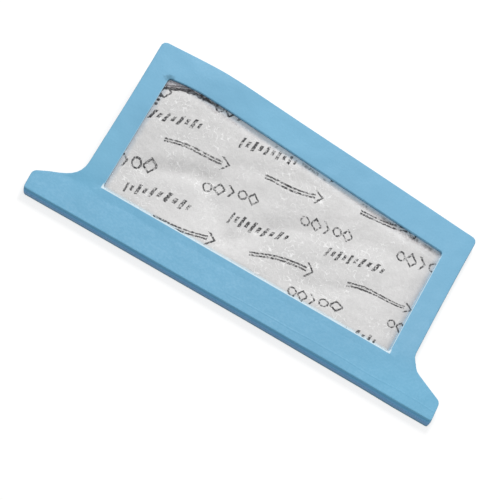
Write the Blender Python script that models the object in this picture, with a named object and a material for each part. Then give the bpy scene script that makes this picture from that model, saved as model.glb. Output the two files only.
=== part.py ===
"""Slide-in air filter of a bedside breathing machine.

A soft moulded frame with a wide foot surrounds a rectangular window. A nonwoven sheet fills the window, and its edges
are held in a groove in the window's walls. The part lies on its back with the face up: X runs along the foot, Y from
the foot to the top bar, and Z out of the face. The origin is in the middle of the outline, on the surface that the
part lies on. The frame has gone out of flat in use: its foot and right end lie flat, and its top left corner stands up.
"""

import math

import bmesh
import bpy
from mathutils import Vector

MM = 0.001

# The window and the bars round it
WINDOW_WIDTH = 52.8 * MM
WINDOW_HEIGHT = 21.8 * MM
WINDOW_CORNER_RADIUS = 0.5 * MM
FOOT_BAR = 7.1 * MM
SIDE_BAR = 4.0 * MM
TOP_BAR = 5.7 * MM
TOP_CORNER_RADIUS = 1.3 * MM

# The ear at each end of the foot: an upright outer side, a slope towards the body and a hollow fillet
EAR_LENGTH = 7.1 * MM
EAR_SIDE = 3.5 * MM
EAR_SLOPE = math.radians(27.5)
EAR_TIP_RADIUS = 1.2 * MM
EAR_FILLET = 4.0 * MM
TOE_RADIUS = 0.4 * MM

# The section through a bar
THICKNESS = 1.8 * MM
EDGE_RADIUS = 0.25 * MM

# The sheet: thin where it is tucked into the groove, lofty inside the window
SHEET_THICKNESS = 0.7 * MM
SHEET_EDGE = 0.3 * MM
SHEET_TUCK = 0.9 * MM
SHEET_SHOULDER = 1.8 * MM
SHEET_WAVE = 0.06 * MM
SHEET_WAVE_LENGTH = 21.0 * MM
SHEET_CLEARANCE = 0.3 * MM

# How far the soft frame stands out of flat
FLAT_FOOT = 5.6 * MM
TWIST_LIFT = 7.6 * MM
TWIST_POWER = 1.15
FOLD_PLACE = 18.7 * MM  # from the middle to where the fold meets the top edge, on the left
FOLD_ANGLE = math.radians(37.5)
FOLD_SLOPE = math.radians(15.8)
FOLD_ROUNDING = 2.5 * MM

# Steps along each stretch of half the outline
FOOT_STEPS = 14
TOE_STEPS = 2
EAR_SIDE_STEPS = 2
EAR_TIP_STEPS = 4
EAR_SLOPE_STEPS = 4
EAR_FILLET_STEPS = 5
SIDE_STEPS = 9
TOP_CORNER_STEPS = 4
TOP_STEPS = 11
WINDOW_CORNER_STEPS = 5
LOWER_SIDE_SHARE = 0.06  # of the window's side, which the ear's lines run to without crossing its fillet
EDGE_STEPS = 2
FACE_ROWS = 4
SHEET_COLUMNS = 40
SHEET_ROWS = 17
SMOOTH_BELOW = math.radians(50.0)

BODY_HALF = WINDOW_WIDTH / 2 + SIDE_BAR
FOOT_HALF = BODY_HALF + EAR_LENGTH
FRAME_HEIGHT = FOOT_BAR + WINDOW_HEIGHT + TOP_BAR
GROOVE_DEPTH = SHEET_TUCK + SHEET_CLEARANCE
GROOVE_HALF = SHEET_EDGE / 2 + SHEET_CLEARANCE
MID_PLANE = THICKNESS / 2


def straight(start, end, steps):
    """Points from start towards end, each with the normal to the right of travel; the end is left to what follows."""
    start, end = Vector(start), Vector(end)
    direction = (end - start).normalized()
    normal = Vector((direction.y, -direction.x))
    return [(start.lerp(end, i / steps), normal) for i in range(steps)]


def corner(centre, radius, start_angle, end_angle, steps):
    """Points on an arc without its end. Where the normal's angle falls, the arc is hollow and lies behind its centre."""
    side = 1 if end_angle > start_angle else -1
    points = []
    for i in range(steps):
        angle = start_angle + (end_angle - start_angle) * i / steps
        normal = Vector((math.cos(angle), math.sin(angle)))
        points.append((Vector(centre) + side * radius * normal, normal))
    return points


def outer_half():
    """Right half of the outer outline, from the middle of the foot's edge to the middle of the top edge."""
    turn = math.pi / 2 - EAR_SLOPE
    tip_run = EAR_TIP_RADIUS * math.tan(turn / 2)
    slope_run = EAR_LENGTH / math.cos(EAR_SLOPE) - tip_run
    fillet = min(EAR_FILLET, 0.9 * slope_run / math.tan(turn / 2))
    fillet_run = fillet * math.tan(turn / 2)
    inward = Vector((-math.cos(EAR_SLOPE), math.sin(EAR_SLOPE)))
    tip = Vector((FOOT_HALF, EAR_SIDE))
    root = Vector((BODY_HALF, EAR_SIDE + EAR_LENGTH * math.tan(EAR_SLOPE)))
    fillet_end = root + Vector((0, fillet_run))
    top = FRAME_HEIGHT - TOP_CORNER_RADIUS
    tip_centre = (FOOT_HALF - EAR_TIP_RADIUS, EAR_SIDE - tip_run)
    fillet_centre = fillet_end + Vector((fillet, 0))
    top_centre = (BODY_HALF - TOP_CORNER_RADIUS, top)
    points = straight((0, 0), (FOOT_HALF - TOE_RADIUS, 0), FOOT_STEPS)
    points += corner((FOOT_HALF - TOE_RADIUS, TOE_RADIUS), TOE_RADIUS, -math.pi / 2, 0, TOE_STEPS)
    points += straight((FOOT_HALF, TOE_RADIUS), (FOOT_HALF, EAR_SIDE - tip_run), EAR_SIDE_STEPS)
    points += corner(tip_centre, EAR_TIP_RADIUS, 0, turn, EAR_TIP_STEPS)
    points += straight(tip + tip_run * inward, root - fillet_run * inward, EAR_SLOPE_STEPS)
    points += corner(fillet_centre, fillet, turn, 0, EAR_FILLET_STEPS)
    points += straight(fillet_end, (BODY_HALF, top), SIDE_STEPS)
    points += corner(top_centre, TOP_CORNER_RADIUS, 0, math.pi / 2, TOP_CORNER_STEPS)
    points += straight((BODY_HALF - TOP_CORNER_RADIUS, FRAME_HEIGHT), (0, FRAME_HEIGHT), TOP_STEPS)
    return points + [(Vector((0, FRAME_HEIGHT)), Vector((0, 1)))]


def window_half():
    """Right half of the window's outline, with as many points as the outer half has; normals point into the bars."""
    half = WINDOW_WIDTH / 2
    low, high = FOOT_BAR, FOOT_BAR + WINDOW_HEIGHT
    radius = WINDOW_CORNER_RADIUS
    side_start, side_end = low + radius, high - radius
    split = side_start + LOWER_SIDE_SHARE * (side_end - side_start)
    ear_steps = TOE_STEPS + EAR_SIDE_STEPS + EAR_TIP_STEPS + EAR_SLOPE_STEPS + EAR_FILLET_STEPS
    points = straight((0, low), (half - radius, low), FOOT_STEPS)
    points += corner((half - radius, side_start), radius, -math.pi / 2, 0, WINDOW_CORNER_STEPS)
    points += straight((half, side_start), (half, split), ear_steps - WINDOW_CORNER_STEPS)
    points += straight((half, split), (half, side_end), SIDE_STEPS)
    points += corner((half - radius, side_end), radius, 0, math.pi / 2, TOP_CORNER_STEPS)
    points += straight((half - radius, high), (0, high), TOP_STEPS)
    return points + [(Vector((0, high)), Vector((0, 1)))]


def whole(half):
    """The half outline followed by its mirror image, back to the start."""
    mirror = Vector((-1, 1))
    return half + [(point * mirror, normal * mirror) for point, normal in reversed(half[1:-1])]


def quarter_turn():
    """Sines and cosines of the steps along a rounded edge."""
    angles = [math.pi / 2 * i / EDGE_STEPS for i in range(EDGE_STEPS + 1)]
    return [(math.sin(angle), math.cos(angle)) for angle in angles]


def outer_profile():
    """Inset and height of the outer wall's points, from the back to the face."""
    back = [(EDGE_RADIUS * (1 - sine), EDGE_RADIUS * (1 - cosine)) for sine, cosine in quarter_turn()]
    return back + [(inset, THICKNESS - height) for inset, height in reversed(back)]


def window_profile():
    """Inset and height of the window wall's points, from the face down past the groove to the back."""
    back = [(inset, height) for inset, height in reversed(outer_profile()[: EDGE_STEPS + 1])]
    face = [(inset, THICKNESS - height) for inset, height in reversed(back)]
    top, bottom = MID_PLANE + GROOVE_HALF, MID_PLANE - GROOVE_HALF
    groove = [(0, top), (GROOVE_DEPTH, top), (GROOVE_DEPTH, bottom), (0, bottom)]
    return face + groove + back


def between(start, end):
    """The points of a bar's face or back between its two rounded edges."""
    return [start.lerp(end, (i + 1) / (FACE_ROWS + 1)) for i in range(FACE_ROWS)]


def section(outer, window):
    """The closed ring of points that cuts through the bar from one outer point to its window point."""
    (outer_point, outer_normal), (window_point, window_normal) = outer, window
    wall = [(*(outer_point - inset * outer_normal), height) for inset, height in outer_profile()]
    lip = [(*(window_point + inset * window_normal), height) for inset, height in window_profile()]
    wall, lip = [Vector(p) for p in wall], [Vector(p) for p in lip]
    return wall + between(wall[-1], lip[0]) + lip + between(lip[-1], wall[0])


def lift(x, y):
    """How far the face and the back stand out of flat at a place, measured from the middle of the foot's edge."""
    rise = max(0.0, (y - FLAT_FOOT) / (FRAME_HEIGHT - FLAT_FOOT))
    twist = TWIST_LIFT * (BODY_HALF - x) / (2 * BODY_HALF) * rise**TWIST_POWER
    past_fold = (y - FRAME_HEIGHT) * math.sin(FOLD_ANGLE) - (x + FOLD_PLACE) * math.cos(FOLD_ANGLE)
    rounded = (past_fold + math.hypot(past_fold, FOLD_ROUNDING)) / 2
    fold = math.tan(FOLD_SLOPE) * rounded * min(1.0, 2 * rise)
    return max(0.0, twist - fold)


def place(point):
    """A point of the flat form, bent with the frame and moved to the part's origin."""
    x, y, z = point
    return Vector((x, y - FRAME_HEIGHT / 2, z + lift(x, y)))


def ramp(share):
    """A smooth rise from 0 to 1."""
    share = min(1.0, max(0.0, share))
    return share * share * (3 - 2 * share)


def sheet_point(column, row):
    """The flat place of one grid point of the sheet; a corner point is drawn in to clear the groove's round corner."""
    half_width, half_height = WINDOW_WIDTH / 2 + SHEET_TUCK, WINDOW_HEIGHT / 2 + SHEET_TUCK
    x = (2 * column / SHEET_COLUMNS - 1) * half_width
    y = (2 * row / SHEET_ROWS - 1) * half_height
    radius = WINDOW_CORNER_RADIUS + SHEET_TUCK
    over_x, over_y = abs(x) - (half_width - radius), abs(y) - (half_height - radius)
    if over_x > 0 and over_y > 0:
        pull = min(1.0, radius / math.hypot(over_x, over_y))
        x = math.copysign(half_width - radius + over_x * pull, x)
        y = math.copysign(half_height - radius + over_y * pull, y)
    return x, y


def sheet_heights(x, y):
    """Bottom and top of the sheet at a place measured from the window's centre."""
    inside = min(WINDOW_WIDTH / 2 - abs(x), WINDOW_HEIGHT / 2 - abs(y))
    fullness = ramp(inside / SHEET_SHOULDER)
    phase = 2 * math.pi / SHEET_WAVE_LENGTH
    wave = SHEET_WAVE * fullness * (math.sin(phase * (x + y)) + math.sin(phase * (0.6 * x - 1.4 * y)))
    half = (SHEET_EDGE + (SHEET_THICKNESS - SHEET_EDGE) * fullness) / 2
    return MID_PLANE - half + wave, MID_PLANE + half + wave


def material(name, colour, roughness):
    """A plain surface in the piece's own colour."""
    finish = bpy.data.materials.new(name)
    finish.use_nodes = True
    shader = finish.node_tree.nodes["Principled BSDF"]
    shader.inputs["Base Color"].default_value = (*colour, 1)
    shader.inputs["Roughness"].default_value = roughness
    shader.inputs["Metallic"].default_value = 0.0
    finish.diffuse_color = (*colour, 1)
    return finish


def add_object(name, mesh, finish):
    """Turns a finished bmesh into a named object with smooth round edges."""
    bmesh.ops.recalc_face_normals(mesh, faces=mesh.faces)
    data = bpy.data.meshes.new(name)
    mesh.to_mesh(data)
    mesh.free()
    data.shade_smooth()
    data.set_sharp_from_angle(angle=SMOOTH_BELOW)
    data.materials.append(finish)
    made = bpy.data.objects.new(name, data)
    bpy.context.collection.objects.link(made)
    return made


def moulded_frame():
    """The frame: one section after another round the window, joined into a closed ring."""
    mesh = bmesh.new()
    pairs = zip(whole(outer_half()), whole(window_half()), strict=True)
    rings = [[mesh.verts.new(place(point)) for point in section(*pair)] for pair in pairs]
    for ring, following in zip(rings, rings[1:] + rings[:1]):
        for i, corner_vert in enumerate(ring):
            mesh.faces.new((ring[i - 1], corner_vert, following[i], following[i - 1]))
    return add_object("moulded_frame", mesh, material("soft_blue_plastic", (0.205, 0.462, 0.658), 0.5))


def filter_sheet():
    """The sheet: a bottom and a top grid, closed round the rim."""
    mesh = bmesh.new()
    window_centre = FOOT_BAR + WINDOW_HEIGHT / 2
    grids = ([], [])
    for row in range(SHEET_ROWS + 1):
        for level in grids:
            level.append([])
        for column in range(SHEET_COLUMNS + 1):
            x, y = sheet_point(column, row)
            for level, height in zip(grids, sheet_heights(x, y)):
                level[-1].append(mesh.verts.new(place((x, y + window_centre, height))))
    for level in grids:
        for lower, upper in zip(level, level[1:]):
            for i in range(SHEET_COLUMNS):
                mesh.faces.new((lower[i], lower[i + 1], upper[i + 1], upper[i]))
    rims = [
        level[0]
        + [row[-1] for row in level[1:]]
        + level[-1][-2::-1]
        + [row[0] for row in level[-2:0:-1]]
        for level in grids
    ]
    for i in range(len(rims[0])):
        mesh.faces.new((rims[0][i - 1], rims[0][i], rims[1][i], rims[1][i - 1]))
    return add_object("filter_sheet", mesh, material("white_nonwoven", (0.68, 0.69, 0.68), 0.95))


def main():
    for old in list(bpy.data.objects):
        bpy.data.objects.remove(old)
    moulded_frame()
    filter_sheet()


main()
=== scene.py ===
"""Dresses the slide-in air filter of a bedside breathing machine: moulded frame, printed sheet and stage.

Laid out as an add-on and run as a script. The settings are in metres; materials work in millimetres.
"""

import math

import bpy
from mathutils import Matrix, Vector, noise


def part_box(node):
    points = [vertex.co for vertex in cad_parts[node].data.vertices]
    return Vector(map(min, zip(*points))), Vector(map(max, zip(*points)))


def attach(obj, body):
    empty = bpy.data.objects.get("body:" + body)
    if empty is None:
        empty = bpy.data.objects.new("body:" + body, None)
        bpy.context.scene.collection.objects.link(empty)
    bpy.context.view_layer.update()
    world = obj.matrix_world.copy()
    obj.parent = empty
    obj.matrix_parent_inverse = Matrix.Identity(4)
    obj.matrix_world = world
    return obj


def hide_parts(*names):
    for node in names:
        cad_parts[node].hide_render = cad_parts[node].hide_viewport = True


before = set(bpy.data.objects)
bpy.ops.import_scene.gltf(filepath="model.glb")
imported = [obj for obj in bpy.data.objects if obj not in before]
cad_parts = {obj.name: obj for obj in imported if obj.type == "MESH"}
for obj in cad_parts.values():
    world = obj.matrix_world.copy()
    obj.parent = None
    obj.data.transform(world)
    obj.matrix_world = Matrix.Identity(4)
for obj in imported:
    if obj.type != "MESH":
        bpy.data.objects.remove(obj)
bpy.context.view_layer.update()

bl_info = {
    "name": "Air Filter Finishes",
    "version": (1, 0, 0),
    "blender": (4, 5, 0),
    "location": "3D View > Sidebar > Air Filter",
    "description": "Builds and finishes the moulded frame and printed sheet of a slide-in air filter",
    "category": "Object",
}

MM = 0.001
FRAME_LOW, FRAME_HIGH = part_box("moulded_frame")
FRAME_HEIGHT = FRAME_HIGH.y - FRAME_LOW.y

# The window and the bent form, as the solids have them; y runs from the foot's edge
WINDOW_WIDTH = 52.8 * MM
WINDOW_HEIGHT = 21.8 * MM
FOOT_BAR = 7.1 * MM
BODY_HALF = 30.4 * MM
THICKNESS = 1.8 * MM
MID_PLANE = THICKNESS / 2
EDGE_RADIUS = 0.25 * MM
FLAT_FOOT = 5.6 * MM
TWIST_LIFT = 7.6 * MM
TWIST_POWER = 1.15
FOLD_PLACE = 18.7 * MM
FOLD_ANGLE = math.radians(37.5)
FOLD_SLOPE = math.radians(15.8)
FOLD_ROUNDING = 2.5 * MM
WINDOW_CENTRE = FOOT_BAR + WINDOW_HEIGHT / 2

# Half the window each way, and a margin round it that ends between its groove and the outline (mm)
WINDOW_HALF_X = WINDOW_WIDTH / 2 / MM
WINDOW_HALF_Y = WINDOW_HEIGHT / 2 / MM
PAST_GROOVE = 2.5

# The bow of the window's upper edge: its height, how much it is let down, where it starts and ends along the
# edge and over what length (mm), and how far it reaches into the sheet and the top bar
EDGE_BOW = 0.55 * MM
BOW_LET_DOWN = 0.22
BOW_START, BOW_START_RUN = -30, 10
BOW_END, BOW_END_RUN = -20, 46
BOW_IN_SHEET = 7 * MM
BOW_IN_BAR = 5.4 * MM
OUTLINE_RIM = 0.3 * MM

# The foot's wall leans out, at its top and by how much more at its bottom (mm): all along, on the right, at
# the right end and on the left; then where each starts along x and over what length (mm)
FOOT_LEAN = ((0.05, 0.11), (0.04, 0.17), (0.10, 0.08), (0.08, -0.03))
LEAN_RIGHT, LEAN_RIGHT_RUN = 2, 24
LEAN_END, LEAN_END_RUN = 24, 8
LEAN_LEFT, LEAN_LEFT_RUN = 26, 8
LEAN_REACH = 2.5 * MM

# The foot's left end draws in towards its back: centre, reach and move (mm, y from the foot's edge)
TIP_X, TIP_Y = -37.4, 0.1
TIP_REACH = 2.2
TIP_MOVE = 0.40

# Cuts that let the walls follow a curve: across the frame, and up its sides (mm, y from the foot's edge)
CUTS_ACROSS = (-35, -32, -28, -20, -8, 4, 10, 16, 21, 25, 28, 31, 34)
CUTS_UP = (13.6, 18.8, 24.0, 30.0)
CUT_SNAP = 0.01 * MM

# Levels of the cuts up the outer wall, as shares of its height between the edges, and of the draft there
DRAFT_LEVELS = ((0.25, 0.55), (0.5, 1.0), (0.75, 0.55))

# The sheet's grid and the rounding of its corners
SHEET_CELLS = (218, 94)
SHEET_CORNER = 1.4 * MM

# Hollows across the sheet: both ends (mm from the window's centre), depth and half width (mm)
SHEET_HOLLOWS = (
    (-21.5, -3.7, -13.0, -0.2, 0.46, 1.7),
    (-17.0, -1.2, -14.5, -0.4, 0.20, 1.6),
    (-11.5, -2.5, -6.5, -6.5, 0.18, 1.4),
    (-4.5, -7.5, -1.5, -4.2, 0.26, 1.4),
    (0.5, -2.0, 7.5, 2.9, 0.44, 1.7),
    (7.0, 1.2, 12.5, 2.2, 0.14, 1.3),
    (9.5, -7.6, 18.0, -3.2, 0.30, 1.5),
    (-9.0, 4.2, 2.0, 8.2, 0.20, 1.5),
    (14.0, 4.5, 25.0, 7.4, 0.26, 1.6),
)

# Places where the outline is drawn in or out: centre, reach across and up, move (mm, y from the foot's edge)
OUTLINE_MOVES = (
    (-37.5, 1.8, 3.2, 3.2, 0.25, 0.0),
    (-37.4, 0.1, 1.6, 1.6, 0.18, 0.0),
    (-36.4, 4.2, 1.6, 1.6, -0.02, 0.05),
    (-35.0, 5.0, 2.0, 1.6, 0.0, 0.10),
    (-32.3, 6.6, 2.4, 2.0, -0.02, 0.04),
    (-30.4, 21.5, 3.2, 14.0, 0.125, 0.0),
    (37.5, 2.6, 1.8, 1.8, -0.12, 0.0),
    (36.5, 4.3, 1.6, 1.6, 0.10, 0.09),
    (33.5, 5.8, 3.0, 2.4, 0.03, 0.06),
    (31.0, 7.6, 1.8, 1.7, 0.21, 0.05),
    (30.4, 20.0, 3.2, 22.0, -0.12, 0.0),
    (30.1, 34.3, 1.4, 1.4, 0.18, 0.17),
    (-30.2, 34.3, 1.4, 1.4, -0.17, 0.17),
    (-5.0, 34.6, 20.0, 4.0, 0.0, -0.10),
)

# Patches of painted light on the frame, which even out how the key lamp lights its bent parts: centre, half
# width, half height (mm, y from the foot's edge), strength
PAINTED_LIGHT_PATCHES = (
    (-29.5, 12.0, 7.0, 11.0, 1.0),
    (36.0, 2.0, 24.0, 8.0, 0.8),
    (-6.0, 31.5, 14.0, 6.0, 0.6),
    (-29.5, 24.0, 6.0, 6.0, 0.4),
)

# The camera and the key lamp
LENS = 216
SENSOR = 36
AIM = Vector((-1.018, -6.015, 0.983)) * MM
TOWARDS_KEY = Vector((-0.09, 0.67, 0.74)).normalized()


def lift(x, y):
    """How far the frame stands out of flat at a place; y is measured from the foot's edge."""
    rise = max(0.0, (y - FLAT_FOOT) / (FRAME_HEIGHT - FLAT_FOOT))
    twist = TWIST_LIFT * (BODY_HALF - x) / (2 * BODY_HALF) * rise**TWIST_POWER
    past_fold = (y - FRAME_HEIGHT) * math.sin(FOLD_ANGLE) - (x + FOLD_PLACE) * math.cos(FOLD_ANGLE)
    rounded = (past_fold + math.hypot(past_fold, FOLD_ROUNDING)) / 2
    return max(0.0, twist - math.tan(FOLD_SLOPE) * rounded * min(1.0, 2 * rise))


def ramp(share):
    """A smooth rise from 0 to 1."""
    share = min(1.0, max(0.0, share))
    return share * share * (3 - 2 * share)


def bow(x, y):
    """How far the window's upper edge is drawn out; it fades to nothing at the outline and in the sheet."""
    edge = FOOT_BAR + WINDOW_HEIGHT
    share = ramp((x / MM - BOW_START) / BOW_START_RUN) * (1 - ramp((x / MM - BOW_END) / BOW_END_RUN))
    along = EDGE_BOW * (share - BOW_LET_DOWN)
    if y < edge:
        return along * ramp((y - edge + BOW_IN_SHEET) / BOW_IN_SHEET)
    return along * ramp((FRAME_HEIGHT - OUTLINE_RIM - y) / BOW_IN_BAR)


def foot_lean(x, y, over):
    """How far the foot's wall leans out at a height over the back; most at the lower right."""
    low = 1 - over / THICKNESS
    right = ramp((x / MM - LEAN_RIGHT) / LEAN_RIGHT_RUN)
    end = ramp((x / MM - LEAN_END) / LEAN_END_RUN)
    left = ramp((-x / MM - LEAN_LEFT) / LEAN_LEFT_RUN)
    lean = sum((top + more * low) * share for (top, more), share in zip(FOOT_LEAN, (1, right, end, left)))
    return lean * MM * ramp(1 - y / LEAN_REACH)


# Settings


class FrameSettings(bpy.types.PropertyGroup):
    wall_draft: bpy.props.FloatProperty(
        name="Wall Draft",
        description="How far the outer wall stands out at the parting line, half way up",
        default=0.07 * MM,
        min=0.0,
        soft_max=0.2 * MM,
        unit="LENGTH",
        precision=6,
    )
    blue: bpy.props.FloatVectorProperty(
        name="Frame Colour",
        description="Colour of the soft moulded plastic",
        default=(0.143, 0.402, 0.600),
        min=0.0,
        max=1.0,
        size=3,
        subtype="COLOR",
    )
    # The lip colour is a pale painted highlight along the window's lower edge and up its sides
    lip_highlight: bpy.props.FloatVectorProperty(
        name="Lip Colour",
        description="Colour of the thin stretched lip along the window's lower edge",
        default=(0.80, 0.91, 0.96),
        min=0.0,
        max=1.0,
        size=3,
        subtype="COLOR",
    )
    edge_radius: bpy.props.FloatProperty(
        name="Edge Radius",
        description="Rounding of the moulded edges",
        default=0.12 * MM,
        min=0.02 * MM,
        max=0.25 * MM,
        unit="LENGTH",
        precision=6,
    )
    roughness: bpy.props.FloatProperty(
        name="Frame Roughness",
        description="How dull the plastic is",
        default=0.52,
        min=0.0,
        max=1.0,
        subtype="FACTOR",
    )


class SheetSettings(bpy.types.PropertyGroup):
    thickness: bpy.props.FloatProperty(
        name="Sheet Thickness",
        description="Thickness of the sheet inside the window",
        default=0.7 * MM,
        min=0.3 * MM,
        soft_max=1.2 * MM,
        unit="LENGTH",
        precision=6,
    )
    edge: bpy.props.FloatProperty(
        name="Edge Thickness",
        description="Thickness of the sheet where the frame grips it",
        default=0.3 * MM,
        min=0.1 * MM,
        soft_max=0.6 * MM,
        unit="LENGTH",
        precision=6,
    )
    tuck: bpy.props.FloatProperty(
        name="Tuck",
        description="How far the sheet runs into the frame's groove",
        default=0.9 * MM,
        min=0.0,
        soft_max=1.1 * MM,
        unit="LENGTH",
        precision=6,
    )
    fold_depth: bpy.props.FloatProperty(
        name="Fold Depth",
        description="How deep the soft folds are, as a share of their drawn depth",
        default=1.0,
        min=0.0,
        soft_max=1.5,
        subtype="FACTOR",
    )
    white: bpy.props.FloatVectorProperty(
        name="Sheet Colour",
        description="Colour of the nonwoven fibres",
        default=(0.710, 0.704, 0.702),
        min=0.0,
        max=1.0,
        size=3,
        subtype="COLOR",
    )
    # The dust colour also paints the top wall's shade along the window's top edge
    dust_and_shade: bpy.props.FloatVectorProperty(
        name="Dust Colour",
        description="Colour of the dust along the window's top edge",
        default=(0.33, 0.28, 0.30),
        min=0.0,
        max=1.0,
        size=3,
        subtype="COLOR",
    )


class PrintSettings(bpy.types.PropertyGroup):
    ink: bpy.props.FloatVectorProperty(
        name="Ink Colour",
        description="Colour of the printed marks",
        default=(0.018, 0.018, 0.021),
        min=0.0,
        max=1.0,
        size=3,
        subtype="COLOR",
    )
    angle: bpy.props.FloatProperty(
        name="Print Angle",
        description="Turn of the printed rows from the frame's long axis",
        default=math.radians(13.0),
        subtype="ANGLE",
    )
    row_pitch: bpy.props.FloatProperty(
        name="Row Pitch",
        description="Distance between printed rows",
        default=4.4 * MM,
        min=2.6 * MM,
        unit="LENGTH",
        precision=6,
    )
    unit_pitch: bpy.props.FloatProperty(
        name="Mark Pitch",
        description="Distance between marks along a row",
        default=17.0 * MM,
        min=12.0 * MM,
        unit="LENGTH",
        precision=6,
    )
    stroke: bpy.props.FloatProperty(
        name="Stroke Width",
        description="Width of a printed line",
        default=0.30 * MM,
        min=0.05 * MM,
        unit="LENGTH",
        precision=6,
    )


class StageSettings(bpy.types.PropertyGroup):
    azimuth: bpy.props.FloatProperty(
        name="View Azimuth",
        description="Turn of the camera round the part",
        default=math.radians(2.003),
        subtype="ANGLE",
    )
    elevation: bpy.props.FloatProperty(
        name="View Elevation",
        description="Height angle of the camera",
        default=math.radians(57.379),
        subtype="ANGLE",
    )
    roll: bpy.props.FloatProperty(
        name="View Roll",
        description="Turn of the camera about its own axis",
        default=math.radians(28.133),
        subtype="ANGLE",
    )
    distance: bpy.props.FloatProperty(
        name="View Distance",
        description="Camera distance from the aim point",
        default=0.48274,
        min=0.1,
        unit="LENGTH",
    )
    sky: bpy.props.FloatProperty(
        name="Ambient Strength",
        description="Strength of the even light from all round",
        default=0.63,
        min=0.0,
    )
    key: bpy.props.FloatProperty(
        name="Key Power",
        description="Power of the square key lamp",
        default=0.42,
        min=0.0,
        unit="POWER",
    )
    key_size: bpy.props.FloatProperty(
        name="Key Size",
        description="Side of the square key lamp",
        default=0.085,
        min=0.01,
        unit="LENGTH",
    )
    key_distance: bpy.props.FloatProperty(
        name="Key Distance",
        description="Distance of the key lamp from the part",
        default=0.27,
        min=0.1,
        unit="LENGTH",
    )


# Node helpers


def add_node(tree, kind, **settings):
    node = tree.nodes.new(kind)
    for name, value in settings.items():
        setattr(node, name, value)
    return node


def tree_of(*values):
    """The node tree that holds the first socket among some values."""
    return next(value.id_data for value in values if isinstance(value, bpy.types.NodeSocket))


def feed(value, socket):
    """Links a socket to an input, or sets a plain value on it."""
    if isinstance(value, bpy.types.NodeSocket):
        socket.id_data.links.new(value, socket)
    else:
        socket.default_value = value


def maths(operation, *values, clamp=False):
    node = add_node(tree_of(*values), "ShaderNodeMath", operation=operation, use_clamp=clamp)
    for value, socket in zip(values, node.inputs):
        feed(value, socket)
    return node.outputs[0]


def plus(first, second):
    return maths("ADD", first, second)


def minus(first, second):
    return maths("SUBTRACT", first, second)


def times(first, second):
    return maths("MULTIPLY", first, second)


def ratio(first, second):
    return maths("DIVIDE", first, second)


def highest(first, second):
    return maths("MAXIMUM", first, second)


def absolute(value):
    return maths("ABSOLUTE", value)


def remainder(value, step):
    return maths("FLOORED_MODULO", value, step)


def is_number(value, number):
    """1 where a whole number is this one, 0 elsewhere."""
    return maths("COMPARE", value, number, 0.1)


def distance_from(across, up):
    """Length of the flat vector with these two parts."""
    return maths("SQRT", plus(times(across, across), times(up, up)))


def vector_maths(operation, *values, scale=None):
    node = add_node(tree_of(*values), "ShaderNodeVectorMath", operation=operation)
    for value, socket in zip(values, node.inputs):
        feed(value, socket)
    if scale is not None:
        feed(scale, node.inputs["Scale"])
    return node.outputs[0]


def parts_of(vector):
    """The three parts of a vector."""
    node = add_node(tree_of(vector), "ShaderNodeSeparateXYZ")
    feed(vector, node.inputs[0])
    return node.outputs


def turned_by(vector, angle):
    """A vector turned about the upright axis."""
    node = add_node(tree_of(vector), "ShaderNodeVectorRotate", rotation_type="Z_AXIS")
    feed(vector, node.inputs["Vector"])
    feed(angle, node.inputs["Angle"])
    return node.outputs[0]


def remap(value, low, high, to_low=0.0, to_high=1.0):
    """Smooth step of a value between two limits."""
    node = add_node(tree_of(value), "ShaderNodeMapRange", interpolation_type="SMOOTHSTEP")
    names = ("Value", "From Min", "From Max", "To Min", "To Max")
    for source, name in zip((value, low, high, to_low, to_high), names):
        feed(source, node.inputs[name])
    return node.outputs["Result"]


def noise_at(vector, scale, detail=2.0, roughness=0.5, flat=False):
    node = add_node(tree_of(vector), "ShaderNodeTexNoise", noise_dimensions="2D" if flat else "3D")
    feed(vector, node.inputs["Vector"])
    feed(scale, node.inputs["Scale"])
    node.inputs["Detail"].default_value = detail
    node.inputs["Roughness"].default_value = roughness
    return node


def drift_at(vector, scale, detail, reach):
    """A wandering vector up to about half of the reach long."""
    cloud = noise_at(vector, scale, detail=detail).outputs["Color"]
    return vector_maths("SCALE", vector_maths("SUBTRACT", cloud, (0.5, 0.5, 0.5)), scale=reach)


def mix_colours(share, first, second, blend="MIX"):
    node = add_node(tree_of(share), "ShaderNodeMix", data_type="RGBA", blend_type=blend)
    feed(share, node.inputs[0])
    for value, socket in ((first, node.inputs[6]), (second, node.inputs[7])):
        feed(value, socket)
    return node.outputs[2]


def patch(x, y, across, up, half_width, half_height, strength):
    """A soft oval: its strength in the middle, 0 outside."""
    away = distance_from(ratio(minus(x, across), half_width), ratio(minus(y, up), half_height))
    return remap(away, 0.1, 1.0, strength, 0.0)


def new_group(name, result, **inputs):
    """An empty shader group with one result. None makes a vector input; names use underscores for spaces."""
    tree = bpy.data.node_groups.new(name, "ShaderNodeTree")
    for label, default in inputs.items():
        kind = "NodeSocketVector" if default is None else "NodeSocketFloat"
        socket = tree.interface.new_socket(name=label.replace("_", " "), in_out="INPUT", socket_type=kind)
        if default is not None:
            socket.default_value = default
    tree.interface.new_socket(name=result, in_out="OUTPUT", socket_type="NodeSocketFloat")
    return tree, add_node(tree, "NodeGroupInput").outputs, add_node(tree, "NodeGroupOutput").inputs


def use_group(group, **values):
    """Places a group in a material; names use underscores for spaces."""
    node = add_node(tree_of(*values.values()), "ShaderNodeGroup", node_tree=group)
    for name, value in values.items():
        feed(value, node.inputs[name.replace("_", " ")])
    return node.outputs


# Shared groups


def shared(name, build):
    """The group of this name, built the first time that it is asked for."""
    return bpy.data.node_groups.get(name) or build()


def speckle_group():
    """Uneven patches: 0 between them, 1 inside them."""
    tree, given, result = new_group("Speckle", "Mask", Vector=None, Size=1.0, Low=0.4, High=0.6)
    patches = noise_at(given["Vector"], ratio(1.0, given["Size"]), detail=3.0)
    feed(remap(patches.outputs["Fac"], given["Low"], given["High"]), result["Mask"])
    return tree


def speckle(place, size, low, high):
    """Mask of uneven patches, about this many millimetres large."""
    return use_group(shared("Speckle", speckle_group), Vector=place, Size=size, Low=low, High=high)["Mask"]


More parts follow.
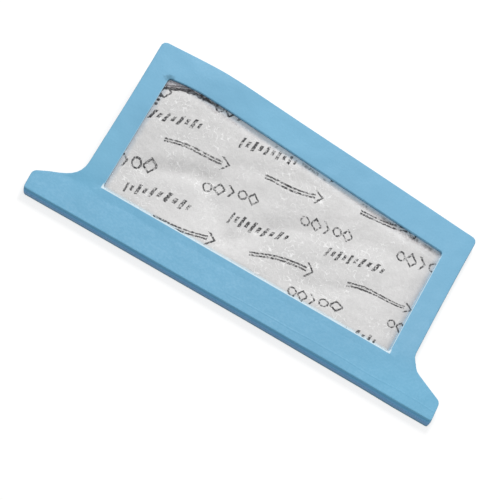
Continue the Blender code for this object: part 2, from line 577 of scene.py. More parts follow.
def band_group():
    """A soft-edged band where a distance is near zero."""
    tree, given, result = new_group("Band", "Mask", Distance=0.0, Half_Width=0.1, Softness=0.05)
    away = absolute(given["Distance"])
    inner = minus(given["Half Width"], given["Softness"])
    outer = plus(given["Half Width"], given["Softness"])
    feed(remap(away, inner, outer, 1.0, 0.0), result["Mask"])
    return tree


def band(distance, half_width, softness):
    """Mask of a soft-edged band where a distance is near zero."""
    group = shared("Band", band_group)
    return use_group(group, Distance=distance, Half_Width=half_width, Softness=softness)["Mask"]


def line_where(field, width):
    """A thin line where a noise passes through its middle value."""
    away = absolute(minus(field.outputs["Fac"], 0.5))
    return remap(away, 0.0, width, 1.0, 0.0)


def fibre_group():
    """Thin wandering fibres laid over each other in five directions."""
    tree, given, result = new_group("Fibre Web", "Fibres", Vector=None, Length=2.4, Spacing=0.55, Line=0.05)
    bent = vector_maths("ADD", given["Vector"], drift_at(given["Vector"], 0.35, 1.0, 2.6))
    cell = add_node(tree, "ShaderNodeCombineXYZ")
    feed(ratio(1.0, given["Length"]), cell.inputs[0])
    feed(ratio(1.0, given["Spacing"]), cell.inputs[1])
    web = None
    for step in range(5):
        turned = turned_by(bent, math.radians(11 + 37 * step))
        shifted = vector_maths("ADD", turned, (7.3 * step, 3.1 * step, 0.0))
        stretched = vector_maths("MULTIPLY", shifted, cell.outputs[0])
        line = line_where(noise_at(stretched, 1.0, detail=0.0, flat=True), given["Line"])
        web = line if web is None else highest(web, line)
    feed(web, result["Fibres"])
    return tree


def curl_group():
    """Short curled fibres that stand out in loose patches."""
    tree, given, result = new_group("Curled Fibres", "Curls", Vector=None, Size=1.1, Line=0.038)
    curls = None
    for step in range(2):
        shifted = vector_maths("ADD", given["Vector"], (19.0 * step, 7.0 * step, 5.0 * step))
        field = noise_at(shifted, ratio(1.0, given["Size"]), detail=0.0)
        cut = speckle(vector_maths("ADD", shifted, (3.0, 29.0, 0.0)), 0.8, 0.47, 0.55)
        line = times(line_where(field, given["Line"]), cut)
        curls = line if curls is None else highest(curls, line)
    patches = speckle(given["Vector"], 5.0, 0.42, 0.58)
    feed(times(curls, patches), result["Curls"])
    return tree


# Printed marks; s runs along a row from a mark's middle and t across it, in millimetres


def outlined_shapes(s, t, t_away):
    """Distance from five outlined shapes in a run: rings, diamonds and chevrons in turn."""
    run, pitch = 4.9, 1.96
    in_run = plus(s, run)
    number = maths("FLOOR", ratio(in_run, pitch))
    c = minus(in_run, times(plus(number, 0.5), pitch))
    c_away = absolute(c)
    ring = absolute(minus(distance_from(c, t), 0.70))
    diamond = times(absolute(minus(plus(c_away, t_away), 0.95)), 0.7)
    slant = plus(minus(c, 0.4), times(t_away, 0.8))
    chevron = highest(times(absolute(slant), 0.78), minus(t_away, 0.9))
    kind = remainder(number, 3.0)
    shapes = [times(shape, is_number(kind, i)) for i, shape in enumerate((ring, diamond, chevron))]
    shape = plus(shapes[0], plus(*shapes[1:]))
    return highest(shape, minus(absolute(s), run - 0.02))


def long_arrow(s, t_away):
    """Distance from a long arrow: two thin lines and an open head."""
    past_shaft = minus(absolute(plus(s, 1.1)), 4.6)
    shaft = highest(absolute(minus(t_away, 0.24)), past_shaft)
    slope = plus(minus(s, 4.9), times(t_away, 1.15))
    head = highest(times(absolute(slope), 0.66), minus(t_away, 1.0))
    return maths("MINIMUM", shaft, head)


def slanted_bars(s, t, t_away):
    """Distance from nine solid bars, slanted, long and short in turn."""
    pitch = 1.1
    leaning = minus(s, times(t, 0.3))
    bar = absolute(minus(remainder(leaning, pitch), pitch / 2))
    number = maths("FLOOR", ratio(leaning, pitch))
    short = is_number(remainder(number, 2.0), 0)
    reach = minus(0.85, times(short, 0.45))
    bar = highest(minus(bar, 0.12), minus(t_away, reach))
    return highest(bar, minus(absolute(leaning), 4.95))


def marks_group():
    """Printed marks: a row of outlined shapes, a row of long arrows and a row of slanted bars, in turn."""
    tree, given, result = new_group(
        "Printed Marks", "Ink", Vector=None, Angle=0.2, Row_Pitch=4.4, Mark_Pitch=17.0, Stroke=0.26
    )
    place, row_pitch, mark_pitch = given["Vector"], given["Row Pitch"], given["Mark Pitch"]
    shake = drift_at(place, 3.5, 1.0, 0.22)
    sway = drift_at(place, 0.1, 0.0, 2.6)
    moved = vector_maths("ADD", vector_maths("ADD", place, sway), shake)
    along, across, _ = parts_of(turned_by(moved, times(given["Angle"], -1.0)))

    row = maths("FLOOR", ratio(across, row_pitch))
    t = minus(across, times(plus(row, 0.5), row_pitch))
    t_away = absolute(t)
    row_kind = remainder(row, 3.0)
    shifted = plus(along, times(times(row, 0.36), mark_pitch))
    s = minus(remainder(shifted, mark_pitch), times(mark_pitch, 0.5))

    shapes = outlined_shapes(s, t, t_away)
    marks = (shapes, long_arrow(s, t_away), slanted_bars(s, t, t_away))
    distance = None
    for turn, mark in enumerate(marks):
        here = times(mark, is_number(row_kind, turn))
        distance = here if distance is None else plus(distance, here)
    line = band(distance, times(given["Stroke"], 0.5), 0.045)

    # The ink sits on the fibres and is broken up
    broken = speckle(place, 0.34, 0.36, 0.56)
    faded = speckle(place, 2.6, 0.30, 0.62)
    strength = plus(times(broken, 0.85), times(faded, 0.34))
    feed(maths("MULTIPLY", line, strength, clamp=True), result["Ink"])
    return tree


# Materials


def new_material(name):
    finish = bpy.data.materials.new(name)
    finish.use_nodes = True
    tree = finish.node_tree
    shader = tree.nodes["Principled BSDF"]
    coordinates = add_node(tree, "ShaderNodeTexCoord")
    mapping = add_node(tree, "ShaderNodeMapping")
    mapping.inputs["Scale"].default_value = (1000, 1000, 1000)
    feed(coordinates.outputs["Object"], mapping.inputs["Vector"])
    return finish, shader, mapping.outputs[0]


def add_bump(shader, height, distance, strength=1.0):
    """A Bump node; the distance is in metres, as the shader's is."""
    bump = add_node(shader.id_data, "ShaderNodeBump")
    bump.inputs["Strength"].default_value = strength
    bump.inputs["Distance"].default_value = distance
    feed(height, bump.inputs["Height"])
    feed(bump.outputs[0], shader.inputs["Normal"])


def lay_on(colour, mask, share, shade):
    """A colour with a shade laid on it where a mask is, at a share of the mask's strength."""
    return mix_colours(times(mask, share), colour, shade)


def lip_highlight_mask(x, y, from_side, from_window, upper):
    """Where the pale painted highlight lies: along the window's lower edge, and thinner up its sides."""
    near_window = remap(from_window, 0.16, 0.32, 1.0, 0.0)
    lower_edge = remap(y, 7.4, 8.0, 1.0, 0.0)
    on_side = band(from_side, 0.11, 0.06)
    on_side = times(on_side, remap(x, -5.0, 5.0, 0.35, 0.85))
    on_side = times(on_side, remap(y, 27.6, 28.6, 1.0, 0.0))
    return times(times(near_window, upper), highest(lower_edge, on_side))


def wall_colours(settings, colour, height, from_window):
    """The outer wall, whose two halves meet half way up: its colours, and the mask of the parting line."""
    outside = remap(from_window, PAST_GROOVE - 0.1, PAST_GROOVE + 0.1)
    upright = times(remap(height, 0.1, 0.3), remap(height, 1.5, 1.7, 1.0, 0.0))
    on_wall = times(outside, upright)
    lower_half = times(on_wall, remap(height, 0.86, 0.96, 1.0, 0.0))
    red, green, blue = settings.blue
    colour = lay_on(colour, on_wall, 0.8, (red * 0.95, green, blue * 1.12, 1))
    colour = lay_on(colour, lower_half, 0.8, (red * 1.25, green * 0.96, blue * 1.08, 1))
    under_face = band(minus(height, 1.42), 0.16, 0.09)
    middle = band(minus(height, 0.85), 0.38, 0.16)
    lower_rim = remap(height, 0.2, 0.6, 1.0, 0.0)
    rows = (
        (under_face, (0.80, 0.93, 0.93, 1)),
        (middle, (1.14, 1.05, 1.08, 1)),
        (lower_rim, (0.94, 0.85, 0.72, 1)),
    )
    for row, shade in rows:
        colour = mix_colours(times(outside, row), colour, shade, blend="MULTIPLY")
    seam = times(band(minus(height, MID_PLANE / MM), 0.05, 0.04), on_wall)
    return lay_on(colour, seam, 0.25, (0.08, 0.22, 0.36, 1)), seam


def worn_corner(x, y, place, upper):
    """Where the window's upper left corner is smudged."""
    across = times(plus(x, WINDOW_HALF_X), 0.6)
    from_corner = distance_from(across, minus(y, (FOOT_BAR + WINDOW_HEIGHT) / MM))
    reach = times(noise_at(place, 1.6, detail=1.0).outputs["Fac"], 1.5)
    return times(remap(from_corner, times(reach, 0.2), reach, 1.0, 0.0), upper)


def plastic_material(settings):
    """Soft moulded plastic: satin, slightly cloudy, with a fine grain and a parting line; painted light on
    its bent parts, and a pale painted highlight along the window's lower edge.
    """
    finish, shader, place = new_material("soft_blue_plastic")
    x, from_middle, _ = parts_of(place)
    y = plus(from_middle, FRAME_HEIGHT / 2 / MM)
    height = add_node(tree_of(place), "ShaderNodeAttribute", attribute_name="flat_height").outputs["Fac"]
    upper = remap(height, 1.35, 1.6)
    from_side = minus(absolute(x), WINDOW_HALF_X)
    from_end = minus(absolute(minus(y, WINDOW_CENTRE / MM)), WINDOW_HALF_Y)
    from_window = highest(from_side, from_end)

    cloud = speckle(place, 7.0, 0.3, 0.7)
    grain = speckle(place, 0.42, 0.3, 0.7)
    deeper = (*(part * 0.93 for part in settings.blue), 1)
    paler = (*(1 - (1 - part) * 0.95 for part in settings.blue), 1)
    colour = lay_on((*settings.blue, 1), cloud, 0.55, deeper)
    colour = lay_on(colour, grain, 0.35, deeper)
    # Painted light: paler from the foot upwards and in patches, so that the bent upper parts, which turn from
    # the key lamp, stay as bright as the flat foot
    colour = lay_on(colour, remap(y, 5.0, 12.0), 0.7, paler)
    for place_and_size in PAINTED_LIGHT_PATCHES:
        painted_light = patch(x, y, *place_and_size)
        colour = mix_colours(painted_light, colour, (1.10, 1.11, 1.09, 1), blend="MULTIPLY")
    colour, seam = wall_colours(settings, colour, height, from_window)
    # Painted highlight: pale along the window's lower edge, and thinner up its sides
    lip_highlight = lip_highlight_mask(x, y, from_side, from_window, upper)
    colour = lay_on(colour, lip_highlight, 0.8, (*settings.lip_highlight, 1))
    colour = lay_on(colour, worn_corner(x, y, place, upper), 0.6, (0.05, 0.16, 0.24, 1))
    feed(colour, shader.inputs["Base Color"])

    rough = plus(settings.roughness - 0.05, times(grain, 0.1))
    feed(rough, shader.inputs["Roughness"])

    # A faint raised line along the foot's face, fine grain, soft waviness and the parting line
    line_place = plus(1.0, times(noise_at(place, 0.08, detail=1.0).outputs["Fac"], 1.2))
    ridge = band(minus(y, line_place), 0.12, 0.11)
    ridge = times(ridge, times(upper, remap(x, -6.0, 6.0)))
    waves = noise_at(place, 0.22, detail=1.0).outputs["Fac"]
    relief = plus(times(waves, 1.1), times(grain, 0.035))
    for mask, share in ((ridge, 0.07), (seam, 0.1)):
        relief = plus(relief, times(mask, share))
    add_bump(shader, relief, 0.2 * MM)
    shader.inputs["Specular IOR Level"].default_value = 0.4
    return finish


def nonwoven(place, settings):
    """Colour, relief and fine fibres of the sheet, shared by its two faces."""
    web = shared("Fibre Web", fibre_group)
    fine = use_group(web, Vector=place, Length=1.3, Spacing=0.28, Line=0.05)["Fibres"]
    curls = use_group(shared("Curled Fibres", curl_group), Vector=place)["Curls"]
    cloud = speckle(place, 3.4, 0.3, 0.7)
    fluff = speckle(place, 0.6, 0.3, 0.7)
    darker = (*(part * 0.84 for part in settings.white), 1)
    lighter = (*(min(0.97, part * 1.38) for part in settings.white), 1)
    colour = lay_on((*settings.white, 1), cloud, 0.36, darker)
    colour = lay_on(colour, fluff, 0.22, darker)
    colour = lay_on(colour, fine, 0.16, lighter)
    colour = lay_on(colour, curls, 0.78, lighter)
    relief = plus(times(fine, 0.25), times(curls, 0.6))
    relief = plus(relief, times(fluff, 0.5))
    return colour, relief, fine


def dust_and_shade_mask(place, x, from_top, grit):
    """Where dust lies along the sheet's top edge, with the top wall's painted shade in it, reaching further
    on the right.
    """
    right = remap(x, 8.0, 16.0)
    uneven = plus(0.75, times(speckle(place, 1.6, 0.25, 0.75), 1.3))
    reach = plus(times(right, 0.5), uneven)
    share = plus(remap(x, -24.0, -4.0, 0.30, 0.16), times(right, 0.10))
    share = times(share, plus(0.3, times(grit, 1.5)))
    return times(remap(from_top, times(reach, 0.3), reach, 1.0, 0.0), share)


def painted_light_beside_frame(colour, x, up, from_top):
    """Painted light and shade on the sheet beside the frame: bluish painted shade along the side walls,
    painted blue bounce light in the top wall's shade, painted shade near the right wall, a broad painted
    lighter patch on the lower left, and painted highlights along the right wall and the lower edge.
    """
    from_side = minus(WINDOW_HALF_X, absolute(x))
    # Painted shade, bluish from the walls, beside the side walls
    colour = mix_colours(remap(from_side, 0.1, 1.1, 0.42, 0.0), colour, (0.42, 0.49, 0.57, 1))
    # Painted blue bounce light in the top wall's shade
    top_edge_bounce = remap(from_top, -0.2, 0.8, 1.0, 0.0)
    top_edge_bounce = times(top_edge_bounce, remap(x, -10.0, 4.0, 0.35, 0.85))
    colour = mix_colours(top_edge_bounce, colour, (0.56, 0.78, 0.94, 1))
    from_right = minus(WINDOW_HALF_X, x)
    # Painted shade near the right wall
    shade = remap(from_right, 0.5, 3.4, 0.22, 0.0)
    colour = mix_colours(shade, colour, (0.32, 0.33, 0.35, 1))
    # Painted light: a broad lighter patch on the lower left
    bright = patch(x, up, -9.0, -7.0, 16.0, 8.0, 1.0)
    colour = mix_colours(bright, colour, (1.08, 1.08, 1.08, 1), blend="MULTIPLY")
    # Painted highlight, bluish, along the right wall
    right_wall_light = remap(from_right, 0.05, 0.32, 0.75, 0.0)
    right_wall_light = times(right_wall_light, remap(from_top, 2.0, 12.0, 0.4, 1.0))
    colour = mix_colours(right_wall_light, colour, (0.50, 0.74, 0.90, 1))
    # Painted highlight along the window's lower edge
    lower_edge_highlight = remap(plus(WINDOW_HALF_Y, up), 0.16, 0.5, 0.95, 0.0)
    return mix_colours(lower_edge_highlight, colour, (0.84, 0.92, 0.96, 1))


def soiled_crease(place, x, from_top, grit):
    """A soiled double crease from the left side up to the top edge, and the dust that lies above it."""
    crease_at = remap(x, -28.5, -21.0, 2.2, -0.05)
    crease_at = minus(crease_at, remap(x, -21.0, -17.0, 0.0, 0.15))
    below = minus(from_top, crease_at)
    thick = plus(0.22, times(speckle(place, 1.3, 0.4, 0.6), 0.26))
    crease = times(band(below, thick, 0.1), remap(x, -17.5, -15.5, 1.0, 0.0))
    second = band(plus(below, 0.62), 0.15, 0.09)
    second = times(second, remap(x, -24.0, -21.5, 0.8, 0.0))
    soiled = plus(0.74, times(speckle(place, 0.75, 0.38, 0.58), 0.26))
    crease = times(highest(crease, second), soiled)
    above = times(remap(below, -0.2, 0.1, 1.0, 0.0), remap(x, -21.0, -17.0, 1.0, 0.0))
    return crease, times(above, plus(0.26, times(grit, 0.5)))


def edge_dots(x, from_top):
    """Three dark dots in a row down the sheet's left edge."""
    from_left = plus(WINDOW_HALF_X, x)
    dot_row = minus(remainder(minus(from_top, 2.9), 0.8), 0.4)
    dots = band(distance_from(minus(from_left, 0.28), dot_row), 0.27, 0.09)
    return times(dots, band(minus(from_top, 4.1), 1.2, 0.05))


def edge_spots(place, x, from_top, grit):
    """Broken dark spots, where print runs in under the top edge."""
    spots = band(minus(from_top, remap(x, -8.0, 20.0, 0.1, 0.5)), 0.24, 0.12)
    runs = speckle(place, 2.6, 0.49, 0.56)
    spots = times(spots, times(runs, remap(x, -9.0, -6.0)))
    return times(spots, plus(0.2, times(grit, 0.45)))


def sheet_material(name, settings, marks=None):
    """Nonwoven sheet: matt fibres, and on its printed face broken ink, a soiled crease, dust, and painted
    light and shade beside the frame.
    """
    finish, shader, place = new_material(name)
    colour, relief, fibres = nonwoven(place, settings)
    if marks:
        x, from_middle, _ = parts_of(place)
        up = plus(from_middle, (FRAME_HEIGHT / 2 - WINDOW_CENTRE) / MM)
        from_top = minus(WINDOW_HALF_Y, up)
        grit = speckle(place, 0.3, 0.35, 0.65)
        dust_and_shade = (*settings.dust_and_shade, 1)
        # Dust, and painted shade under the top wall, along the top edge
        colour = mix_colours(dust_and_shade_mask(place, x, from_top, grit), colour, dust_and_shade)
        # Painted light and shade beside the frame
        colour = painted_light_beside_frame(colour, x, up, from_top)
        crease, above = soiled_crease(place, x, from_top, grit)
        colour = mix_colours(above, colour, dust_and_shade)
        ink = use_group(
            marks_group(),
            Vector=place,
            Angle=marks.angle,
            Row_Pitch=marks.row_pitch / MM,
            Mark_Pitch=marks.unit_pitch / MM,
            Stroke=marks.stroke / MM,
        )["Ink"]
        soiled = highest(crease, edge_dots(x, from_top))
        ink = highest(ink, highest(soiled, edge_spots(place, x, from_top, grit)))
        on_fibres = times(ink, remap(fibres, 0.0, 1.0, 1.0, 0.8))
        colour = mix_colours(on_fibres, colour, (*marks.ink, 1))
    feed(colour, shader.inputs["Base Color"])
    shader.inputs["Roughness"].default_value = 0.95
    shader.inputs["Specular IOR Level"].default_value = 0.25
    add_bump(shader, relief, 0.05 * MM, 0.8)
    return finish


def floor_material():
    """Pale floor that shows white to the camera and in reflections, and keeps the shadow."""
    finish = bpy.data.materials.new("pale_floor")
    finish.use_nodes = True
    tree = finish.node_tree
    tree.nodes.clear()
    seen, lit = add_node(tree, "ShaderNodeAddShader"), add_node(tree, "ShaderNodeBsdfDiffuse")
    lit.inputs["Color"].default_value = (0.35, 0.35, 0.35, 1)
    shadowed, glow = add_node(tree, "ShaderNodeBsdfDiffuse"), add_node(tree, "ShaderNodeEmission")
    shadowed.inputs["Color"].default_value = (0.36, 0.36, 0.36, 1)
    glow.inputs["Strength"].default_value = 0.70
    feed(shadowed.outputs[0], seen.inputs[0])
    feed(glow.outputs[0], seen.inputs[1])
    mixed = add_node(tree, "ShaderNodeMixShader")
    feed(shown_ray(tree), mixed.inputs[0])
    feed(lit.outputs[0], mixed.inputs[1])
    feed(seen.outputs[0], mixed.inputs[2])
    feed(mixed.outputs[0], add_node(tree, "ShaderNodeOutputMaterial").inputs[0])
    return finish


def shown_ray(tree):
    """1 for the rays that show the background: camera, glossy and transmission."""
    path = add_node(tree, "ShaderNodeLightPath")
    seen = highest(path.outputs["Is Camera Ray"], path.outputs["Is Glossy Ray"])
    return highest(seen, path.outputs["Is Transmission Ray"])


# Pieces


def only(piece):
    """Deselects all, then selects the piece and makes it active."""
    if bpy.context.mode != "OBJECT":
        bpy.ops.object.mode_set(mode="OBJECT")
    bpy.ops.object.select_all(action="DESELECT")
    piece.select_set(True)
    bpy.context.view_layer.objects.active = piece


def select_vertices(piece, chosen):
    """Selects, in edit mode, exactly the vertices for which chosen(vertex) is true."""
    bpy.ops.mesh.select_mode(type="VERT")
    bpy.ops.mesh.select_all(action="DESELECT")
    bpy.ops.object.mode_set(mode="OBJECT")
    for vertex in piece.data.vertices:
        vertex.select = chosen(vertex)
    bpy.ops.object.mode_set(mode="EDIT")


def from_foot(point):
    """How far a point is from the foot's edge."""
    return point.y + FRAME_HEIGHT / 2


def eased(point):
    """A point of the flattened frame, moved with the window's upper edge, the foot's wall and the outline."""
    x, y = point.x, from_foot(point)
    moved = Vector((x, point.y + bow(x, y) - foot_lean(x, y, point.z), point.z))
    for across, up, reach_across, reach_up, move_x, move_y in OUTLINE_MOVES:
        near = ramp(1 - math.hypot((x / MM - across) / reach_across, (y / MM - up) / reach_up))
        moved += near * MM * Vector((move_x, move_y, 0))

    # The foot's left end draws in towards its back
    tip = ramp(1 - math.hypot(x / MM - TIP_X, y / MM - TIP_Y) / TIP_REACH)
    moved.x += TIP_MOVE * MM * tip * (1 - point.z / THICKNESS)
    return moved


def tighten_edges(mesh, radius):
    """Brings the rounding of the flattened frame's edges from the solids' radius to a smaller one."""
    mesh.update()
    less = EDGE_RADIUS - radius
    moved = []
    for vertex in mesh.vertices:
        point, out = vertex.co.copy(), Vector((vertex.normal.x, vertex.normal.y, 0))
        upper = point.z > MID_PLANE
        depth = THICKNESS - point.z if upper else point.z
        if depth < EDGE_RADIUS + 0.01 * MM and out.length > 0.02:
            rise = min(1.0, max(0.0, 1 - depth / EDGE_RADIUS))
            point += less * (1 - math.sqrt(1 - rise * rise)) * out.normalized()
            point.z += less * (1 - rise) * (1 if upper else -1)
        moved.append(point)
    for vertex, point in zip(mesh.vertices, moved):
        vertex.co = point


def on_outer_wall(point):
    """True off the window's own walls: outside a rectangle between the groove and the outline."""
    y = from_foot(point) - WINDOW_CENTRE
    margin = PAST_GROOVE * MM
    return abs(point.x) > WINDOW_WIDTH / 2 + margin or abs(y) > WINDOW_HEIGHT / 2 + margin


class AIRFILTER_OT_frame(bpy.types.Operator):
    """Makes the soft moulded frame from a copy of the CAD frame, with drafted walls and a parting line"""

    bl_idname = "air_filter.frame"
    bl_label = "Moulded Frame"

    def execute(self, context):
        settings = context.scene.air_filter_frame
        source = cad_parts["moulded_frame"]
        piece = bpy.data.objects.new("soft_frame", source.data.copy())
        context.collection.objects.link(piece)
        mesh = piece.data
        for vertex in mesh.vertices:
            vertex.co.z -= lift(vertex.co.x, from_foot(vertex.co))
        only(piece)
        bpy.ops.object.mode_set(mode="EDIT")
        bpy.ops.mesh.select_all(action="SELECT")
        bpy.ops.mesh.remove_doubles(threshold=0.002 * MM)
        turn, skew = math.radians(60), math.radians(70)
        bpy.ops.mesh.tris_convert_to_quads(face_threshold=turn, shape_threshold=skew)

        # Cuts across the frame and up its sides
        for across in CUTS_ACROSS:
            bpy.ops.mesh.select_all(action="SELECT")
            bpy.ops.mesh.bisect(plane_co=(across * MM, 0, 0), plane_no=(1, 0, 0), threshold=CUT_SNAP)
        for up in CUTS_UP:
            bpy.ops.mesh.select_all(action="SELECT")
            middle = up * MM - FRAME_HEIGHT / 2
            bpy.ops.mesh.bisect(plane_co=(0, middle, 0), plane_no=(0, 1, 0), threshold=CUT_SNAP)

        # Three cuts up the outer wall, then drawn out, the middle one most
        bpy.ops.mesh.select_mode(type="EDGE")
        bpy.ops.mesh.select_all(action="DESELECT")
        bpy.ops.object.mode_set(mode="OBJECT")
        for edge in mesh.edges:
            ends = [mesh.vertices[i].co for i in edge.vertices]
            upright = abs(ends[0].z - ends[1].z) > 1.2 * MM and (ends[0].xy - ends[1].xy).length < 0.05 * MM
            edge.select = upright and on_outer_wall(ends[0])
        bpy.ops.object.mode_set(mode="EDIT")
        bpy.ops.mesh.subdivide(number_cuts=3)
        for level, share in DRAFT_LEVELS:
            height = EDGE_RADIUS + level * (THICKNESS - 2 * EDGE_RADIUS)
            select_vertices(piece, lambda v, h=height: on_outer_wall(v.co) and abs(v.co.z - h) < 0.08 * MM)
            bpy.ops.transform.shrink_fatten(value=share * settings.wall_draft)

        # Triangles again while the frame is still flat, so that none of them folds over in the moves
        bpy.ops.mesh.select_all(action="SELECT")
        bpy.ops.mesh.quads_convert_to_tris(quad_method="BEAUTY", ngon_method="BEAUTY")
        bpy.ops.object.mode_set(mode="OBJECT")

        tighten_edges(mesh, settings.edge_radius)
        heights = mesh.attributes.new("flat_height", "FLOAT", "POINT")
        heights.data.foreach_set("value", [v.co.z / MM for v in mesh.vertices])
        for vertex in mesh.vertices:
            vertex.co = eased(vertex.co)
            vertex.co.z += lift(vertex.co.x, from_foot(vertex.co))
        only(piece)
        bpy.ops.object.shade_smooth_by_angle(angle=math.radians(50))
        steady = piece.modifiers.new("steady", "WEIGHTED_NORMAL")
        steady.keep_sharp = True
        bpy.ops.object.modifier_apply(modifier="steady")
        mesh.materials.clear()
        mesh.materials.append(plastic_material(settings))
        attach(piece, "root")
        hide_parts("moulded_frame")
        return {"FINISHED"}


def hollow(x, y, start_x, start_y, end_x, end_y, depth, width):
    """Depth of one soft hollow at a place, all in millimetres."""
    run = Vector((end_x - start_x, end_y - start_y))
    off = Vector((x - start_x, y - start_y))
    share = off.dot(run) / run.length_squared
    reach = max(0.0, share - 1, -share) * run.length / 3.0
    across = (off.x * run.y - off.y * run.x) / run.length / width
    return depth * math.exp(-(across * across) - reach * reach)


def sheet_form(x, y, fold_depth):
    """Height of the sheet's middle, and its fullness, 0 at the rim; x and y run from the window's centre."""
    side = WINDOW_WIDTH / 2 - abs(x)
    low, high = WINDOW_HEIGHT / 2 + y, WINDOW_HEIGHT / 2 - y
    x_mm, y_mm = x / MM, y / MM
    shelf = (0.3 + 0.45 * ramp((x_mm - 6) / 12)) * MM
    full = ramp((side + 0.3 * MM) / (1.2 * MM)) * ramp((low + 0.25 * MM) / (0.75 * MM))
    full *= ramp((high - shelf) / (1.6 * MM))
    folds = 0.10 - sum(hollow(x_mm, y_mm, *line) for line in SHEET_HOLLOWS) * fold_depth
    along = Vector((0.89 * x_mm + 0.45 * y_mm, 0.89 * y_mm - 0.45 * x_mm, 0))
    folds += 0.10 * noise.noise(Vector((along.x * 0.12, along.y * 0.34, 3.7)))
    folds += 0.05 * noise.noise(Vector((x_mm * 0.8, y_mm * 0.8, 9.1)))
    folds += 0.02 * noise.noise(Vector((x_mm * 2.2, y_mm * 2.2, 1.3)))
    folds += 0.10 + 0.22 * math.exp(-((low / MM / 2.6) ** 2)) + 0.08 * math.exp(-((side / MM / 2.2) ** 2))

    # The rim is pressed up against the frame's lip; on the upper left the sheet stays up further in
    rim = 0.20 * math.exp(-((max(0.0, min(side, low, high)) / MM / 0.4) ** 2))
    left = 0.27 * ramp((-x_mm - 8) / 10) * math.exp(-((max(0.0, high) / MM / 1.4) ** 2))
    return MID_PLANE + (full * folds + (1 - full) * max(rim, left)) * MM, full


class AIRFILTER_OT_sheet(bpy.types.Operator):
    """Makes the nonwoven sheet with its soft folds, printed on the face"""

    bl_idname = "air_filter.sheet"
    bl_label = "Nonwoven Sheet"

    def execute(self, context):
        settings = context.scene.air_filter_sheet
        width, height = WINDOW_WIDTH + 2 * settings.tuck, WINDOW_HEIGHT + 2 * settings.tuck
        bpy.ops.object.select_all(action="DESELECT")
        across, up = SHEET_CELLS
        bpy.ops.mesh.primitive_grid_add(x_subdivisions=across, y_subdivisions=up, size=1)
        piece = context.object
        piece.name = "nonwoven_sheet"
        bpy.ops.object.mode_set(mode="EDIT")
        bpy.ops.transform.resize(value=(width, height, 1), center_override=(0, 0, 0))
        bpy.ops.object.mode_set(mode="OBJECT")

        fullness = piece.vertex_groups.new(name="fullness")
        corner_x, corner_y = width / 2 - SHEET_CORNER, height / 2 - SHEET_CORNER
        for vertex in piece.data.vertices:
            x, y, _ = vertex.co
            past = Vector((abs(x) - corner_x, abs(y) - corner_y))
            if past.x > 0 and past.y > 0:
                share = past / SHEET_CORNER
                x = math.copysign(corner_x + past.x * math.sqrt(1 - share.y * share.y / 2), x)
                y = math.copysign(corner_y + past.y * math.sqrt(1 - share.x * share.x / 2), y)
            middle, full = sheet_form(x, y, settings.fold_depth)
            up = y + WINDOW_CENTRE
            up += bow(x, up)
            vertex.co = (x, up - FRAME_HEIGHT / 2, middle + lift(x, up))
            fullness.add([vertex.index], full, "REPLACE")
        thicken = piece.modifiers.new("thicken", "SOLIDIFY")
        thicken.thickness = settings.thickness
        thicken.offset = 0
        thicken.vertex_group = "fullness"
        thicken.thickness_vertex_group = settings.edge / settings.thickness
        only(piece)
        bpy.ops.object.modifier_apply(modifier="thicken")
        bpy.ops.object.shade_smooth_by_angle(angle=math.radians(60))

        mesh = piece.data
        mesh.materials.append(sheet_material("white_nonwoven", settings, context.scene.air_filter_print))
        mesh.materials.append(sheet_material("white_nonwoven_back", settings))
        sides = [0 if face.normal.z > 0.2 else 1 for face in mesh.polygons]
        mesh.polygons.foreach_set("material_index", sides)
        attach(piece, "root")
        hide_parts("filter_sheet")
        return {"FINISHED"}


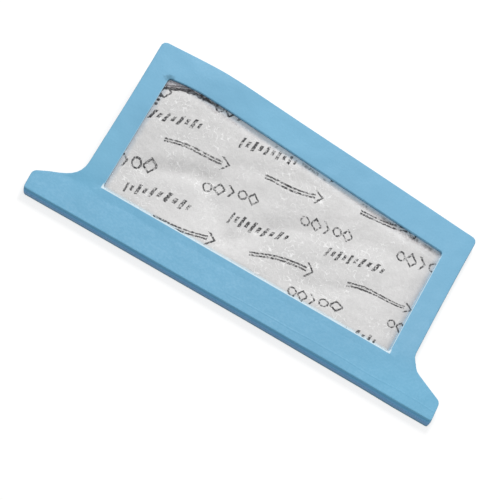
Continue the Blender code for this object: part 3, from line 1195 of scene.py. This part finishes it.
class AIRFILTER_OT_stage(bpy.types.Operator):
    """Sets up the pale floor, the soft studio light and the camera"""

    bl_idname = "air_filter.stage"
    bl_label = "Stage"

    def execute(self, context):
        settings, scene = context.scene.air_filter_stage, context.scene
        bpy.ops.object.select_all(action="DESELECT")
        bpy.ops.mesh.primitive_plane_add(size=4, location=(0, 0, -0.01 * MM))
        floor = context.object
        floor.name = "floor"
        floor.data.materials.append(floor_material())

        world = bpy.data.worlds.new("studio")
        scene.world = world
        world.use_nodes = True
        tree = world.node_tree
        background = tree.nodes["Background"]
        background.inputs["Color"].default_value = (1, 1, 1, 1)
        shown = shown_ray(tree)
        strength = plus(settings.sky, times(shown, 1.0 - settings.sky))
        feed(strength, background.inputs["Strength"])

        bpy.ops.object.light_add(type="AREA", location=TOWARDS_KEY * settings.key_distance)
        key = context.object
        key.name = "key"
        key.data.energy = settings.key
        key.data.shape = "SQUARE"
        key.data.size = settings.key_size
        key.rotation_euler = TOWARDS_KEY.to_track_quat("Z", "Y").to_euler()

        bpy.ops.object.camera_add()
        camera = context.object
        camera.name = "camera"
        camera.data.sensor_width = SENSOR
        camera.data.lens = LENS
        camera.data.clip_start, camera.data.clip_end = 0.01, 10
        azimuth, level = settings.azimuth, math.cos(settings.elevation)
        back = Vector((math.sin(azimuth) * level, -math.cos(azimuth) * level, math.sin(settings.elevation)))
        turn = (-back).to_track_quat("-Z", "Y").to_matrix().to_4x4()
        turn = turn @ Matrix.Rotation(settings.roll, 4, "Z")
        camera.matrix_world = Matrix.Translation(AIM + back * settings.distance) @ turn
        scene.camera = camera
        scene.view_settings.view_transform = "Standard"
        return {"FINISHED"}


class AIRFILTER_PT_panel(bpy.types.Panel):
    """Buttons and settings of the air filter"""

    bl_idname = "AIRFILTER_PT_panel"
    bl_label = "Air Filter"
    bl_space_type = "VIEW_3D"
    bl_region_type = "UI"
    bl_category = "Air Filter"

    def draw(self, context):
        layout, scene = self.layout, context.scene
        for operator, groups in (
            ("air_filter.frame", (scene.air_filter_frame,)),
            ("air_filter.sheet", (scene.air_filter_sheet, scene.air_filter_print)),
            ("air_filter.stage", (scene.air_filter_stage,)),
        ):
            box = layout.box()
            box.operator(operator)
            for group in groups:
                for name in group.__annotations__:
                    box.prop(group, name)


CLASSES = (
    FrameSettings,
    SheetSettings,
    PrintSettings,
    StageSettings,
    AIRFILTER_OT_frame,
    AIRFILTER_OT_sheet,
    AIRFILTER_OT_stage,
    AIRFILTER_PT_panel,
)
SETTINGS = {
    "air_filter_frame": FrameSettings,
    "air_filter_sheet": SheetSettings,
    "air_filter_print": PrintSettings,
    "air_filter_stage": StageSettings,
}


def register():
    for cls in CLASSES:
        bpy.utils.register_class(cls)
    for name, cls in SETTINGS.items():
        setattr(bpy.types.Scene, name, bpy.props.PointerProperty(type=cls))


def unregister():
    for name in SETTINGS:
        delattr(bpy.types.Scene, name)
    for cls in reversed(CLASSES):
        bpy.utils.unregister_class(cls)


def main():
    register()
    bpy.ops.air_filter.frame()
    bpy.ops.air_filter.sheet()
    bpy.ops.air_filter.stage()


if __name__ == "__main__":
    main()
